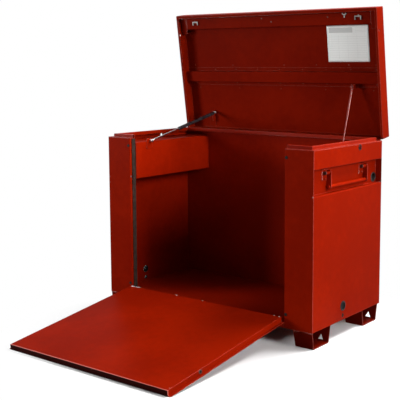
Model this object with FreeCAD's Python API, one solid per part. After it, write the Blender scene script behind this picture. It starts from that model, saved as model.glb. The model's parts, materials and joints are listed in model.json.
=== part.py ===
import FreeCAD, Part
import math
import os

os.makedirs("parts", exist_ok=True)
V = FreeCAD.Vector

# Drop-front steel chest on four skids, lid raised and front door let down to the floor.
# Millimetres. X to the right, Y to the back, Z up. It is drawn about the middle of the chest's body and moved
# along Y at the end, so that the origin is on the floor, under the middle of the whole opened chest.

# Driving dimensions
WIDTH = 1219.2
DEPTH = 609.6
SKID_HEIGHT = 76.0
LEDGE_HEIGHT = 871.0
RIM_RISE = 15.0
RIM_INSET = 20.0
SHEET = 2.0
BEND = 2.0
POST_WIDTH = 148.0
POST_DEPTH = 38.0
DOOR_THICKNESS = 25.0
DOOR_PROUD = 5.0
DOOR_LAP = 7.4
LID_DEPTH = 66.0
LID_ANGLE = 81.8
LID_OVERHANG = 13.0
RECESS_DROP = 86.0
RECESS_HEIGHT = 114.0
RECESS_DEPTH = 32.0
HOUSING_WIDTH = 154.0
HOUSING_HEIGHT = 182.0
HOUSING_DROP = 25.0
KNUCKLE_RADIUS = 4.5
PIN_RADIUS = 2.5

# Clearances
RUNNING_FIT = 0.05
SLIDE_FIT = 0.08
LEAF_GAP = 0.5
LID_GAP = 1.5
DOOR_SIDE_GAP = 5.6
DOOR_FLOOR_GAP = 0.6
HINGE_GAP = 0.35
JOINT_GAP = 0.4
SEAT_GAP = 0.3

# Faces of the chest
half = WIDTH / 2
front = -DEPTH / 2
back = DEPTH / 2
opening = half - POST_WIDTH
rim_top = LEDGE_HEIGHT + RIM_RISE
recess_top = LEDGE_HEIGHT - RECESS_DROP
recess_bottom = recess_top - RECESS_HEIGHT
housing_top = LEDGE_HEIGHT - HOUSING_DROP
housing_bottom = housing_top - HOUSING_HEIGHT

# Lid, drawn shut and then raised about its hinge
lid_axis_y = back + KNUCKLE_RADIUS + LEAF_GAP
lid_axis_z = LEDGE_HEIGHT
lid_half = half + 1.5
lid_rear = back + 0.7
lid_front = front - LID_OVERHANG
lid_low = LEDGE_HEIGHT + LID_GAP
lid_high = lid_low + LID_DEPTH

# Door, drawn shut and then let down about its hinge until its far edge is just off the floor
door_outer = front - DOOR_PROUD
door_inner = door_outer + DOOR_THICKNESS
door_axis_y = front - 3.3
door_axis_z = SKID_HEIGHT + 30.4
door_bottom = door_axis_z + 5.6
door_half = opening + DOOR_LAP
pan_half = opening - DOOR_SIDE_GAP
door_reach_y = door_outer - door_axis_y
door_reach_z = LEDGE_HEIGHT - door_axis_z
door_reach = math.hypot(door_reach_y, door_reach_z)
door_lean = math.degrees(math.atan2(-door_reach_y, door_reach_z))
door_drop = math.degrees(math.acos((DOOR_FLOOR_GAP - door_axis_z) / door_reach))
DOOR_ANGLE = door_drop - door_lean


def box(x0, x1, y0, y1, z0, z1):
    """A box between two corners."""
    return Part.makeBox(x1 - x0, y1 - y0, z1 - z0, V(x0, y0, z0))


def rod_x(x0, x1, y, z, r):
    """A cylinder along X."""
    return Part.makeCylinder(r, x1 - x0, V(x0, y, z), V(1, 0, 0))


def rod_y(x, y0, y1, z, r):
    """A cylinder along Y."""
    return Part.makeCylinder(r, y1 - y0, V(x, y0, z), V(0, 1, 0))


def placed(plane, a, b, c):
    """The point with in-plane coordinates a and b, at c along the plane's normal."""
    return {"xz": V(a, c, b), "yz": V(c, a, b), "xy": V(a, b, c)}[plane]


def swept(plane, edges, low, high):
    """A closed profile extruded from low to high along its plane's normal."""
    run = placed(plane, 0, 0, high - low)
    face = Part.Face(Part.Wire(edges))
    return face.extrude(run)


def prism(plane, points, low, high):
    """A polygon extruded from low to high along its plane's normal."""
    corners = [placed(plane, a, b, low) for a, b in points]
    edges = [Part.makeLine(p, q) for p, q in zip(corners, corners[1:] + corners[:1])]
    return swept(plane, edges, low, high)


def bent(plane, points, thick, low, high, radius=BEND):
    """Sheet bent along a path, its thickness on the path's left (negative on the right)."""
    side = 1 if thick > 0 else -1
    near = [[points[0]]]
    far = []
    for i in range(len(points) - 1):
        (x0, y0), (x1, y1) = points[i], points[i + 1]
        d = math.hypot(x1 - x0, y1 - y0)
        u = ((x1 - x0) / d, (y1 - y0) / d)
        n = (-u[1], u[0])
        if i == 0:
            far.append([(x0 + n[0] * thick, y0 + n[1] * thick)])
        if i + 2 < len(points):
            x2, y2 = points[i + 2]
            e = math.hypot(x2 - x1, y2 - y1)
            w = ((x2 - x1) / e, (y2 - y1) / e)
            turn = u[0] * w[1] - u[1] * w[0]
            way = 1 if turn > 0 else -1
            angle = math.atan2(abs(turn), u[0] * w[0] + u[1] * w[1])
            inner = way == side
            r_near = radius + abs(thick) if inner else radius
            r_far = radius if inner else radius + abs(thick)
            cut = r_near * math.tan(angle / 2)
            start = (x1 - u[0] * cut, y1 - u[1] * cut)
            end = (x1 + w[0] * cut, y1 + w[1] * cut)
            centre = (start[0] + n[0] * way * r_near, start[1] + n[1] * way * r_near)
            m = math.hypot(x1 - centre[0], y1 - centre[1])
            mid = ((x1 - centre[0]) / m, (y1 - centre[1]) / m)
            for out, r in ((near, r_near), (far, r_far)):
                k = r / r_near
                a = (centre[0] + (start[0] - centre[0]) * k, centre[1] + (start[1] - centre[1]) * k)
                b = (centre[0] + mid[0] * r, centre[1] + mid[1] * r)
                c = (centre[0] + (end[0] - centre[0]) * k, centre[1] + (end[1] - centre[1]) * k)
                out.append([a, b, c])
        else:
            near.append([(x1, y1)])
            far.append([(x1 + n[0] * thick, y1 + n[1] * thick)])
    turned = [list(reversed(item)) for item in reversed(far)]
    chain = near + turned
    edges = []
    for item, after in zip(chain, chain[1:] + chain[:1]):
        if len(item) == 3:
            edges.append(Part.Arc(*[placed(plane, a, b, low) for a, b in item]).toShape())
        edges.append(Part.makeLine(placed(plane, *item[-1], low), placed(plane, *after[0], low)))
    return swept(plane, edges, low, high)


def mirrored(shape):
    """The same shape on the chest's other side."""
    return shape.mirror(V(0, 0, 0), V(1, 0, 0))


def both(shape):
    """A shape and its mirror image."""
    return [shape, mirrored(shape)]


def turned(shape, y, z, angle):
    """A copy turned about a line along X through y and z."""
    out = shape.copy()
    out.rotate(V(0, y, z), V(1, 0, 0), angle)
    return out


def raised(shape):
    """A piece of the shut lid, carried to the raised lid."""
    return turned(shape, lid_axis_y, lid_axis_z, -LID_ANGLE)


def lowered(shape):
    """A piece of the shut door, carried to the door on the floor."""
    return turned(shape, door_axis_y, door_axis_z, DOOR_ANGLE)


def turned_point(y, z, axis_y, axis_z, angle):
    """Where a point goes when it turns about a line along X."""
    a = math.radians(angle)
    dy, dz = y - axis_y, z - axis_z
    return (
        axis_y + dy * math.cos(a) - dz * math.sin(a),
        axis_z + dy * math.sin(a) + dz * math.cos(a),
    )


def lid_point(s, t):
    """Y and Z, on the raised lid, of the point s from its rear face and t below its top."""
    return turned_point(lid_rear - s, lid_high - t, lid_axis_y, lid_axis_z, -LID_ANGLE)


pieces = {}


def save(name, *shapes):
    """Keeps one node; several pieces stay separate solids."""
    solids = []
    for shape in shapes:
        for solid in shape.removeSplitter().Solids:
            solids.append(solid)
    pieces[name] = solids[0] if len(solids) == 1 else Part.makeCompound(solids)


# Side walls: lower panel, recess for the lift handle, top band and the turned-in feet of the sheet
side_front = front + SHEET
side_back = back - SHEET
lock_y = back - 27.0
lock_z = recess_bottom + 26.0
LOCK_RADIUS = 20.0
PORT_Y = DEPTH * -0.0771
PORT_Z = SKID_HEIGHT + 67.0
PORT_RADIUS = 19.0
WEEP_Z = SKID_HEIGHT + 22.0
WEEP_RADIUS = 10.0
BAND_PORT_Y = DEPTH * 0.1476
BAND_PORT_Z = LEDGE_HEIGHT - 16.0
BAND_PORT_RADIUS = 10.0
wall_x = half - RECESS_DEPTH
side_path = [
    (half - 24.0, SKID_HEIGHT),
    (half, SKID_HEIGHT),
    (half, recess_bottom),
    (wall_x, recess_bottom),
    (wall_x, recess_top),
    (half, recess_top),
    (half, LEDGE_HEIGHT - SHEET),
]
side = bent("xz", side_path, SHEET, side_front, side_back)
side = side.cut(rod_x(wall_x - 10.0, wall_x + 5.0, lock_y, lock_z, LOCK_RADIUS + SEAT_GAP))
side = side.cut(rod_x(half - 10.0, half + 5.0, PORT_Y, PORT_Z, PORT_RADIUS))
side = side.cut(rod_x(half - 10.0, half + 5.0, PORT_Y, WEEP_Z, WEEP_RADIUS))
side = side.cut(rod_x(half - 10.0, half + 5.0, BAND_PORT_Y, BAND_PORT_Z, BAND_PORT_RADIUS))
save("right_side", side)
save("left_side", mirrored(side))

# Back wall, up to the underside of the ledge
back_wall = box(-half, half, back - SHEET, back, SKID_HEIGHT, LEDGE_HEIGHT - SHEET)
corner_lines = [
    e for e in back_wall.Edges
    if abs(e.Vertexes[0].Z - e.Vertexes[-1].Z) > 100.0 and e.Vertexes[0].Y > back - 0.1
]
save("back_wall", back_wall.makeFillet(SHEET * 0.9, corner_lines))

# Floor with the sill across the front of it
sill_top = door_axis_z - KNUCKLE_RADIUS - LEAF_GAP
floor_low = SKID_HEIGHT + SHEET
floor_half = half - SHEET - BEND
floor = box(-floor_half, floor_half, front + POST_DEPTH, side_back, floor_low, floor_low + SHEET)
save("floor_pan", floor)
sill_path = [
    (front + POST_DEPTH, floor_low + SHEET),
    (front + POST_DEPTH, sill_top),
    (front, sill_top),
    (front, SKID_HEIGHT),
    (front + POST_DEPTH + 22.0, SKID_HEIGHT),
]
sill = bent("yz", sill_path, SHEET, -opening, opening)
save("front_sill", sill)

# Front posts: face, return toward the door opening and a stiffening lip behind it
post_path = [
    (opening + 20.0, front + POST_DEPTH),
    (opening, front + POST_DEPTH),
    (opening, front),
    (half, front),
]
BOLT_DROP = 193.0
BOLT_Z = LEDGE_HEIGHT - BOLT_DROP
BOLT_RADIUS = 5.0
bolt_y = front + 10.2
post = bent("xy", post_path, SHEET, SKID_HEIGHT, LEDGE_HEIGHT - SHEET)
outer_line = [
    e for e in post.Edges
    if abs(e.Vertexes[0].Z - e.Vertexes[-1].Z) > 100.0
    and e.Vertexes[0].X > half - 0.1
    and e.Vertexes[0].Y < front + 0.1
]
post = post.makeFillet(SHEET * 0.9, outer_line)
post = post.cut(rod_x(opening - 5.0, opening + 5.0, bolt_y, BOLT_Z, BOLT_RADIUS + 1.0))
save("right_post", post)
save("left_post", mirrored(post))

# Stepped rim: a ledge all round, an upstand set in from it, and a lip folded in and down
rim_lip = RIM_INSET + 16.0
lip_low = LEDGE_HEIGHT - SHEET


def ring(inset_out, inset_in, low, high):
    """A rectangular ring inside the chest's outline."""
    outer = box(
        -half + inset_out, half - inset_out, front + inset_out, back - inset_out, low, high
    )
    inner = box(
        -half + inset_in, half - inset_in, front + inset_in, back - inset_in, low, high
    )
    return outer.cut(inner)


rim = ring(0.0, RIM_INSET + SHEET, LEDGE_HEIGHT - SHEET, LEDGE_HEIGHT)
rim = rim.fuse(ring(RIM_INSET, RIM_INSET + SHEET, LEDGE_HEIGHT - SHEET, rim_top))
rim = rim.fuse(ring(RIM_INSET, rim_lip, rim_top - SHEET, rim_top))
rim = rim.fuse(ring(rim_lip - SHEET, rim_lip, lip_low, rim_top))
rim = rim.removeSplitter()
top_lines = [
    e for e in rim.Edges
    if abs(e.Vertexes[0].Z - rim_top) < 0.01 and abs(e.Vertexes[-1].Z - rim_top) < 0.01
]
rim = rim.makeFillet(SHEET * 0.8, top_lines)
rim = rim.cut(box(-opening, opening, front - 1.0, front + rim_lip + 10.0, lip_low - 5.0, rim_top + 5.0))
save("top_rim", rim)

# Covers over the recesses, inside the chest
cover_x = half - HOUSING_WIDTH
cover_path = [
    (half - SHEET, housing_bottom),
    (cover_x, housing_bottom),
    (cover_x, housing_top),
    (half - SHEET, housing_top),
]
cover_front = front + POST_DEPTH
cover = bent("xz", cover_path, -SHEET, cover_front + SHEET, side_back)
end_points = [
    (cover_x, housing_bottom),
    (half - SHEET, housing_bottom),
    (half - SHEET, recess_bottom - SHEET),
    (wall_x - SHEET, recess_bottom - SHEET),
    (wall_x - SHEET, recess_top + SHEET),
    (half - SHEET, recess_top + SHEET),
    (half - SHEET, housing_top),
    (cover_x, housing_top),
]
cover = cover.fuse(prism("xz", end_points, cover_front, cover_front + SHEET)).cut(side)
save("right_recess_cover", cover)
save("left_recess_cover", mirrored(cover))

# Skids of bent plate, open to the side, each with a three-cornered hole through its rear leg
PLATE = 4.0
SKID_WIDTH = 101.0
SKID_TOP = 152.0
SKID_FOOT = 127.0
SKID_LEAN = 10.0
skid_out = half - SHEET
HOLE_X = skid_out - 41.6
skid_in = skid_out - SKID_WIDTH


def skid(start):
    """A right-hand skid that starts at a given Y."""
    outer = [
        (start + SKID_TOP, SKID_HEIGHT),
        (start + SKID_LEAN + SKID_FOOT, 0.0),
        (start + SKID_LEAN, 0.0),
        (start, SKID_HEIGHT),
    ]
    strap = bent("yz", outer, -PLATE, skid_in, skid_out)
    taper = [(skid_in - 1.0, SKID_HEIGHT), (skid_in, SKID_HEIGHT), (skid_in + 9.0, 0.0), (skid_in - 1.0, 0.0)]
    strap = strap.cut(prism("xz", taper, start - 1.0, start + SKID_TOP + 1.0))
    corners = [(HOLE_X - 14.0, 9.0), (HOLE_X + 14.0, 9.0), (HOLE_X, 35.0)]
    hole = prism("xz", corners, start + SKID_TOP - 25.0, start + SKID_TOP + 1.0)
    over = SKID_HEIGHT + 10.0
    above = box(skid_in - 1.0, skid_out + 1.0, start - 10.0, start + SKID_TOP + 10.0, SKID_HEIGHT, over)
    notch = rod_y(HOLE_X + 9.0, start - 1.0, start + SKID_LEAN + PLATE + 1.0, 0.0, 7.0)
    return strap.cut([hole, notch, above])


save("front_skids", *both(skid(front + 2.0)))
save("rear_skids", *both(skid(back - 18.0 - SKID_TOP)))

# Weather strips on the posts' returns and buffers on their faces
STRIP = 3.0
strip_y = front + 12.5
strip = box(opening - STRIP, opening, strip_y, strip_y + 24.0, sill_top + 4.0, lip_low - 2.0)
strip = strip.cut(rod_x(opening - 5.0, opening + 1.0, bolt_y, BOLT_Z, BOLT_RADIUS + 1.5))
save("weather_strips", *both(strip))


BUFFER = DOOR_PROUD - SHEET - JOINT_GAP


def buffer(z):
    """A round rubber buffer on a post's face, beside the door opening."""
    body = rod_y(opening + 9.0, front - BUFFER, front, z, 7.0)
    edge = [e for e in body.Edges if e.BoundBox.YMax < front - BUFFER + 0.1]
    return body.makeFillet(1.4, edge)


save("post_buffers", *both(buffer(LEDGE_HEIGHT - 38.0)), *both(buffer(SKID_HEIGHT + 63.0)))

# Lift handles: wall brackets with barrels, pins, swinging arms and a round grip
bail_x = half - 19.0
bail_z = recess_top - 23.0
ARM = 5.0
ARM_SPREAD = 325.0
arm_front = front + (DEPTH - ARM_SPREAD) / 2 + 14.7
arm_back = arm_front + ARM_SPREAD
grip_x = bail_x
grip_z = bail_z - 64.0
GRIP_RADIUS = 8.5
PIVOT_RADIUS = 5.0


def bracket(arm):
    """A barrel and its plate on the recess wall, just in front of one arm."""
    y1 = arm - ARM / 2 - JOINT_GAP
    y0 = y1 - 30.0
    plate = box(wall_x, wall_x + 3.0, y0 - 6.0, y1, bail_z - 36.0, bail_z + 14.0)
    stand = box(wall_x + 2.0, bail_x, y0, y1, bail_z - 6.0, bail_z + 6.0)
    barrel = rod_y(bail_x, y0, y1, bail_z, 8.0)
    whole = plate.fuse([stand, barrel])
    return whole.cut(rod_y(bail_x, y0 - 1.0, y1 + 1.0, bail_z, PIVOT_RADIUS))


def pivot(arm):
    """A headed pin through a barrel and an arm, with a washer behind the arm."""
    y1 = arm - ARM / 2 - JOINT_GAP
    shank = rod_y(bail_x, y1 - 30.0, arm + ARM / 2 + 4.0, bail_z, PIVOT_RADIUS)
    head = rod_y(bail_x, y1 - 34.0, y1 - 30.0, bail_z, 8.0)
    washer = rod_y(bail_x, arm + ARM / 2 + JOINT_GAP, arm + ARM / 2 + 4.0, bail_z, 8.0)
    return shank.fuse([head, washer])


def arm(y):
    """A flat arm, round about its pivot and about the grip."""
    low, high = y - ARM / 2, y + ARM / 2
    hub = rod_y(bail_x, low, high, bail_z, 12.0)
    foot = rod_y(grip_x, low, high, grip_z, 12.0)
    dx, dz = bail_x - grip_x, bail_z - grip_z
    d = math.hypot(dx, dz)
    n = (12.0 * dz / d, -12.0 * dx / d)
    web = prism(
        "xz",
        [
            (bail_x + n[0], bail_z + n[1]),
            (bail_x - n[0], bail_z - n[1]),
            (grip_x - n[0], grip_z - n[1]),
            (grip_x + n[0], grip_z + n[1]),
        ],
        low,
        high,
    )
    whole = hub.fuse([foot, web])
    whole = whole.cut(rod_y(bail_x, low - 1.0, high + 1.0, bail_z, PIVOT_RADIUS + RUNNING_FIT))
    return whole.cut(rod_y(grip_x, low - 1.0, high + 1.0, grip_z, GRIP_RADIUS))


grip = rod_y(grip_x, arm_front - ARM / 2 - 7.0, arm_back + ARM / 2 + 7.0, grip_z, GRIP_RADIUS)
grip_ends = [e for e in grip.Edges if e.BoundBox.YLength < 0.01]
grip = grip.makeFillet(2.0, grip_ends)
brackets = [bracket(arm_front), bracket(arm_back)]
pins = [pivot(arm_front), pivot(arm_back)]
arms = [arm(arm_front), arm(arm_back)]
save("handle_brackets", *brackets, *[mirrored(s) for s in brackets])
save("handle_pins", *pins, *[mirrored(s) for s in pins])
save("right_handle_arms", *arms)
save("left_handle_arms", *[mirrored(s) for s in arms])
save("right_handle_grip", grip)
save("left_handle_grip", mirrored(grip))

# Lock cups let into the recess walls, each with a keyed plug that turns
CUP_DEPTH = 30.0
CUP_WALL = 2.5
PLUG_RADIUS = 11.0
cup_in = wall_x - CUP_DEPTH
cup = rod_x(cup_in, wall_x, lock_y, lock_z, LOCK_RADIUS)
cup = cup.fuse(rod_x(wall_x, wall_x + 1.5, lock_y, lock_z, LOCK_RADIUS + 3.5))
cup = cup.cut(rod_x(cup_in + CUP_WALL, wall_x + 5.0, lock_y, lock_z, LOCK_RADIUS - CUP_WALL))
seat = rod_x(cup_in + CUP_WALL, cup_in + CUP_WALL + 10.0, lock_y, lock_z, PLUG_RADIUS + 3.5)
cup = cup.fuse(seat)
cup = cup.cut(rod_x(cup_in - 1.0, wall_x, lock_y, lock_z, PLUG_RADIUS + RUNNING_FIT))
save("lock_cups", *both(cup))
plug_end = cup_in + CUP_WALL + 12.0
plug = rod_x(cup_in - 8.0, plug_end, lock_y, lock_z, PLUG_RADIUS)
plug_rim = [e for e in plug.Edges if e.BoundBox.XMin > plug_end - 0.1]
plug = plug.makeFillet(1.0, plug_rim)
keyway = box(plug_end - 8.0, plug_end + 1.0, lock_y - 1.3, lock_y + 1.3, lock_z - 7.0, lock_z + 5.0)
plug = plug.cut(keyway)
cam = box(cup_in - 8.0, cup_in - 4.0, lock_y - 7.0, lock_y + 7.0, lock_z, lock_z + 30.0)
plug = plug.fuse(cam)
save("right_lock_plug", plug)
save("left_lock_plug", mirrored(plug))

# Bolts that enter the door's edges, in tubes fixed behind the posts' returns
GUIDE_LENGTH = 60.0
guide = rod_x(opening + SHEET, opening + SHEET + GUIDE_LENGTH, bolt_y, BOLT_Z, BOLT_RADIUS + 2.5)
guide = guide.cut(rod_x(opening, opening + 90.0, bolt_y, BOLT_Z, BOLT_RADIUS + SLIDE_FIT))
save("bolt_guides", *both(guide))
bolt = rod_x(opening + 1.0, opening + 96.0, bolt_y, BOLT_Z, BOLT_RADIUS)
bolt_tip = [e for e in bolt.Edges if e.BoundBox.XMax < opening + 1.1]
bolt = bolt.makeChamfer(1.5, bolt_tip)
save("right_bolt", bolt)
save("left_bolt", mirrored(bolt))


# Rings that line the round ports in the side walls
def port_ring(x, y, z, radius):
    """A thin tube through a port with a flange outside."""
    flange = rod_x(x, x + 1.2, y, z, radius + 3.5)
    tube = rod_x(x - SHEET, x, y, z, radius - SEAT_GAP)
    return flange.fuse(tube).cut(rod_x(x - 10.0, x + 5.0, y, z, radius - 1.5))


ports = [
    port_ring(half, PORT_Y, PORT_Z, PORT_RADIUS),
    port_ring(half, BAND_PORT_Y, BAND_PORT_Z, BAND_PORT_RADIUS),
]
save("port_rings", *ports, *[mirrored(s) for s in ports])


def knuckles(low, high, count, first, axis_y, axis_z, bore):
    """Every second knuckle of a hinge's row, and the spans along X that they fill."""
    pitch = (high - low) / count
    spans = []
    for i in range(first, count, 2):
        spans.append((low + i * pitch + HINGE_GAP / 2, low + (i + 1) * pitch - HINGE_GAP / 2))
    barrels = [rod_x(a, b, axis_y, axis_z, KNUCKLE_RADIUS) for a, b in spans]
    hole = rod_x(low - 5.0, high + 5.0, axis_y, axis_z, bore)
    return spans, barrels, hole


# Lid hinge: a leaf on the back wall, a leaf on the lid and one long pin
LID_KNUCKLES = 15
lid_hinge_half = half - 12.0
leaf_clear = KNUCKLE_RADIUS + 0.3
spans, barrels, hole = knuckles(
    -lid_hinge_half, lid_hinge_half, LID_KNUCKLES, 0, lid_axis_y, lid_axis_z, PIN_RADIUS + RUNNING_FIT
)
wall_leaf = box(-lid_hinge_half, lid_hinge_half, back, back + SHEET, LEDGE_HEIGHT - 34.0, LEDGE_HEIGHT - 4.6)
tabs = [box(a, b, back, back + SHEET, LEDGE_HEIGHT - 5.0, LEDGE_HEIGHT) for a, b in spans]
save("lid_hinge_wall_leaf", wall_leaf.fuse(tabs + barrels).cut(hole))
spans, barrels, hole = knuckles(
    -lid_hinge_half, lid_hinge_half, LID_KNUCKLES, 1, lid_axis_y, lid_axis_z, PIN_RADIUS + RUNNING_FIT
)
lid_leaf = box(
    -lid_hinge_half, lid_hinge_half, lid_rear, lid_rear + SHEET,
    LEDGE_HEIGHT + leaf_clear, LEDGE_HEIGHT + 34.0,
)
tabs = [
    box(a, b, lid_rear, lid_rear + SHEET, LEDGE_HEIGHT + 1.6, LEDGE_HEIGHT + leaf_clear + 1.0)
    for a, b in spans
]
save("lid_hinge_lid_leaf", raised(lid_leaf.fuse(tabs + barrels).cut(hole)))
pin_half = lid_hinge_half + 3.0
save("lid_hinge_pin", rod_x(-pin_half, pin_half, lid_axis_y, lid_axis_z, PIN_RADIUS))

# Door hinge: a leaf on the sill's face, a leaf under the door and one long pin
DOOR_KNUCKLES = 13
door_hinge_half = pan_half - 7.0
spans, barrels, hole = knuckles(
    -door_hinge_half, door_hinge_half, DOOR_KNUCKLES, 0, door_axis_y, door_axis_z, PIN_RADIUS + RUNNING_FIT
)
sill_leaf = box(-door_hinge_half, door_hinge_half, front - SHEET, front, SKID_HEIGHT + 3.0, sill_top)
tabs = [box(a, b, front - SHEET, front, sill_top - 1.0, door_axis_z - 1.0) for a, b in spans]
save("door_hinge_sill_leaf", sill_leaf.fuse(tabs + barrels).cut(hole))
spans, barrels, hole = knuckles(
    -door_hinge_half, door_hinge_half, DOOR_KNUCKLES, 1, door_axis_y, door_axis_z, PIN_RADIUS + RUNNING_FIT
)
leaf_low = door_bottom - SHEET
door_leaf = box(-door_hinge_half, door_hinge_half, front + 2.0, door_inner - 3.0, leaf_low, door_bottom)
tabs = [box(a, b, door_axis_y, front + 3.0, leaf_low, leaf_low + SHEET) for a, b in spans]
save("door_hinge_door_leaf", lowered(door_leaf.fuse(tabs + barrels).cut(hole)))
pin_half = door_hinge_half + 3.0
save("door_hinge_pin", rod_x(-pin_half, pin_half, door_axis_y, door_axis_z, PIN_RADIUS))

# Door: a flat outer sheet that laps the posts, with a pan welded to its back
outer_skin = box(-door_half, door_half, door_outer, door_outer + SHEET, door_bottom, LEDGE_HEIGHT)
top_corners = [
    e for e in outer_skin.Edges
    if e.BoundBox.YLength > SHEET - 0.1 and e.BoundBox.ZMin > door_bottom + 1.0
]
outer_skin = outer_skin.makeFillet(10.0, top_corners)
save("door_outer_skin", lowered(outer_skin))
pan_front = door_outer + SHEET
pan = box(-pan_half, pan_half, pan_front, door_inner, door_bottom, LEDGE_HEIGHT)
soft = [
    e for e in pan.Edges
    if e.BoundBox.YMin > door_inner - 0.01 or e.BoundBox.YLength > DOOR_THICKNESS - SHEET - 0.1
]
pan = pan.makeFillet(SHEET + 0.5, soft)
room = box(
    -pan_half + SHEET, pan_half - SHEET, pan_front - 1.0, door_inner - SHEET,
    door_bottom + SHEET, LEDGE_HEIGHT - SHEET,
)
pan = pan.cut(room)
STRIKE_RADIUS = BOLT_RADIUS + 1.0
strike_hole = rod_x(pan_half - 5.0, pan_half + 5.0, bolt_y, BOLT_Z, STRIKE_RADIUS + 1.2 + SEAT_GAP)
pan = pan.cut(both(strike_hole))
save("door_inner_pan", lowered(pan))
strike = rod_x(pan_half - 12.0, pan_half + 1.8, bolt_y, BOLT_Z, STRIKE_RADIUS + 1.2)
strike = strike.fuse(rod_x(pan_half, pan_half + 1.8, bolt_y, BOLT_Z, STRIKE_RADIUS + 2.4))
strike = strike.cut(rod_x(pan_half - 20.0, pan_half + 5.0, bolt_y, BOLT_Z, STRIKE_RADIUS))
save("door_strikes", *[lowered(s) for s in both(strike)])

# Lid: a pan with folded-in edges, a channel across it, a rail behind its front and gussets at its corners
shell = box(-lid_half, lid_half, lid_front, lid_rear, lid_low, lid_high)
crown = [
    e for e in shell.Edges
    if e.BoundBox.ZMin > lid_high - 0.01 or e.BoundBox.ZLength > LID_DEPTH - 0.1
]
shell = shell.makeFillet(4.0, crown)
inside = box(
    -lid_half + SHEET, lid_half - SHEET, lid_front + SHEET, lid_rear - SHEET,
    lid_low - 1.0, lid_high - SHEET,
)
soft = [
    e for e in inside.Edges
    if e.BoundBox.ZMin > lid_high - SHEET - 0.01 or e.BoundBox.ZLength > LID_DEPTH - 3.1
]
shell = shell.cut(inside.makeFillet(2.0, soft))
SIDE_FOLD = 12.0
FRONT_FOLD = 16.0
folds = [
    box(lid_half - SIDE_FOLD, lid_half - 1.0, lid_front + 4.0, lid_rear - 4.0, lid_low, lid_low + SHEET),
    box(-lid_half + 1.0, -lid_half + SIDE_FOLD, lid_front + 4.0, lid_rear - 4.0, lid_low, lid_low + SHEET),
    box(-lid_half + 4.0, lid_half - 4.0, lid_front + 1.0, lid_front + FRONT_FOLD, lid_low, lid_low + SHEET),
]
shell = shell.fuse(folds).removeSplitter()
rear_cut = box(
    -lid_half + SIDE_FOLD, lid_half - SIDE_FOLD, lid_rear - 5.0, lid_rear + 1.0,
    lid_low - 1.0, LEDGE_HEIGHT + leaf_clear,
)
corner_cut = box(
    -lid_half - 1.0, lid_half + 1.0, lid_rear - 9.0, lid_rear + 1.0, lid_low - 1.0, lid_low + 3.3
)
SIGHT_HOLE = 5.0
sight_y = lid_front + 106.3
shell = shell.cut(rear_cut).cut(corner_cut)
shell = shell.cut(rod_x(-lid_half - 5.0, lid_half + 5.0, sight_y, lid_high - 50.0, SIGHT_HOLE))
save("lid_shell", raised(shell))


lid_run = lid_rear - lid_front


def lid_box(x0, x1, s0, s1, t0, t1):
    """A box in the raised lid: s from its rear face, t down from its top."""
    return raised(box(x0, x1, lid_rear - s1, lid_rear - s0, lid_high - t1, lid_high - t0))


def lid_bend(path, thick, x0, x1):
    """Sheet bent along a path of s and t, then raised with the lid."""
    points = [(lid_rear - s, lid_high - t) for s, t in path]
    return raised(bent("yz", points, thick, x0, x1))


HAT_DEPTH = 30.0
HAT_START = lid_run * 0.42
hat_end = HAT_START + 73.0
hat_half = lid_half - SHEET - BEND
hat_path = [
    (HAT_START - 21.0, SHEET),
    (HAT_START, SHEET),
    (HAT_START, HAT_DEPTH - SHEET),
    (HAT_START + 52.0, HAT_DEPTH - SHEET),
    (HAT_START + 52.0, SHEET),
    (hat_end, SHEET),
]
save("lid_cross_channel", lid_bend(hat_path, SHEET, -hat_half, hat_half))
RAIL_DEPTH = 40.0
RAIL_END_GAP = 46.0
rail_half = lid_half - RAIL_END_GAP
rail_start = lid_run - 75.3
rail_path = [
    (rail_start, SHEET),
    (rail_start, RAIL_DEPTH - SHEET),
    (rail_start + 54.0, RAIL_DEPTH - SHEET),
    (rail_start + 54.0, SHEET),
    (rail_start + 69.0, SHEET),
]
save("lid_front_rail", lid_bend(rail_path, SHEET, -rail_half, rail_half))
gusset_out = rail_half + RAIL_END_GAP - 12.0
gusset_low = rail_start - 24.0
gusset_high = rail_start + 62.0
gusset = lid_box(rail_half, gusset_out, gusset_low, gusset_high, RAIL_DEPTH - SHEET, RAIL_DEPTH)
gusset = gusset.fuse(lid_box(rail_half, gusset_out, gusset_low, gusset_low + SHEET, SHEET, RAIL_DEPTH))
gusset = gusset.fuse(lid_box(gusset_out - SHEET, gusset_out, gusset_low, gusset_high, SHEET, RAIL_DEPTH))
save("lid_corner_gussets", *both(gusset.removeSplitter()))

# Latch hoops and a spring clip on the lid's front rail
hoop_x = rail_half - 66.0
hoop_s = rail_start + 20.0
HOOP_HALF = 18.0
HOOP_BAR = 6.0
hoop_low = RAIL_DEPTH + 4.0
hoop_high = RAIL_DEPTH + 7.0
hoop = lid_box(hoop_x - HOOP_HALF, hoop_x + HOOP_HALF, hoop_s, hoop_s + 20.0, hoop_low, hoop_high)
gap_half = HOOP_HALF - HOOP_BAR
hoop = hoop.cut(
    lid_box(hoop_x - gap_half, hoop_x + gap_half, hoop_s - 1.0, hoop_s + 14.0, RAIL_DEPTH, hoop_high + 2.0)
)
for x in (hoop_x - HOOP_HALF, hoop_x + gap_half):
    hoop = hoop.fuse(lid_box(x, x + HOOP_BAR, hoop_s, hoop_s + HOOP_BAR, RAIL_DEPTH, hoop_low + 1.0))
save("lid_latch_hoops", *both(hoop.removeSplitter()))
clip_x = hoop_x - 75.0
clip_s = rail_start + 32.0


def lid_blade(points, t0, t1):
    """A flat outline of x and s in the raised lid, between two depths."""
    corners = [(x, lid_rear - s) for x, s in points]
    return raised(prism("xy", corners, lid_high - t1, lid_high - t0))


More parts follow.
